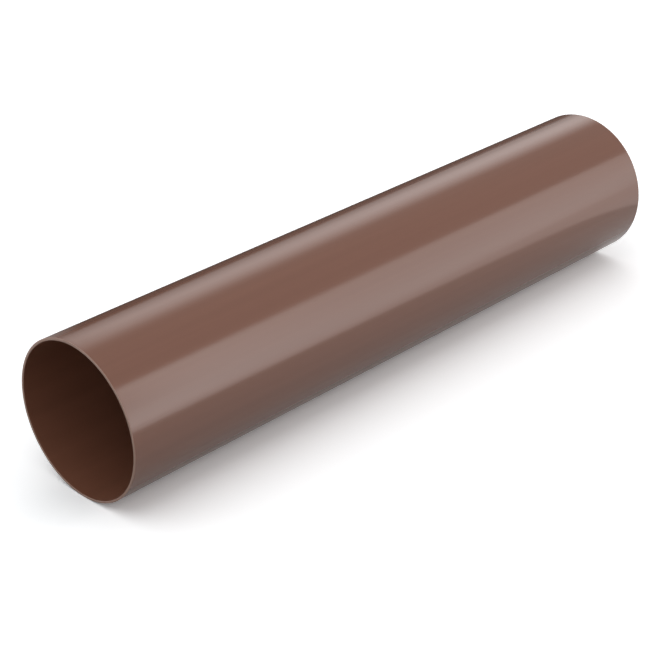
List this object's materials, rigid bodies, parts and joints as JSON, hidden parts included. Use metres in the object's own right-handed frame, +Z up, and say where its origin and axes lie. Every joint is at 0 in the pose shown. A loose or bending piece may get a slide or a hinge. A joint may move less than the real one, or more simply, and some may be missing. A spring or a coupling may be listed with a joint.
{
  "type": "rainwater downpipe",
  "caption": "Plain-ended round plastic downpipe, a straight thin-walled tube that carries rainwater from a gutter down a wall.",
  "frame": {"origin": "on the floor under the middle of the pipe, which lies on its side", "axes": "+X along the pipe's axis, +Y level across the pipe, +Z up from the floor"},
  "size_m": [0.512, 0.11, 0.11],
  "materials": {
    "brown_plastic": "smooth glossy extruded plastic, chocolate brown all through, with sawn ends"
  },
  "bodies": {
    "root": {"pipe": "brown_plastic"}
  },
  "joints": []
}
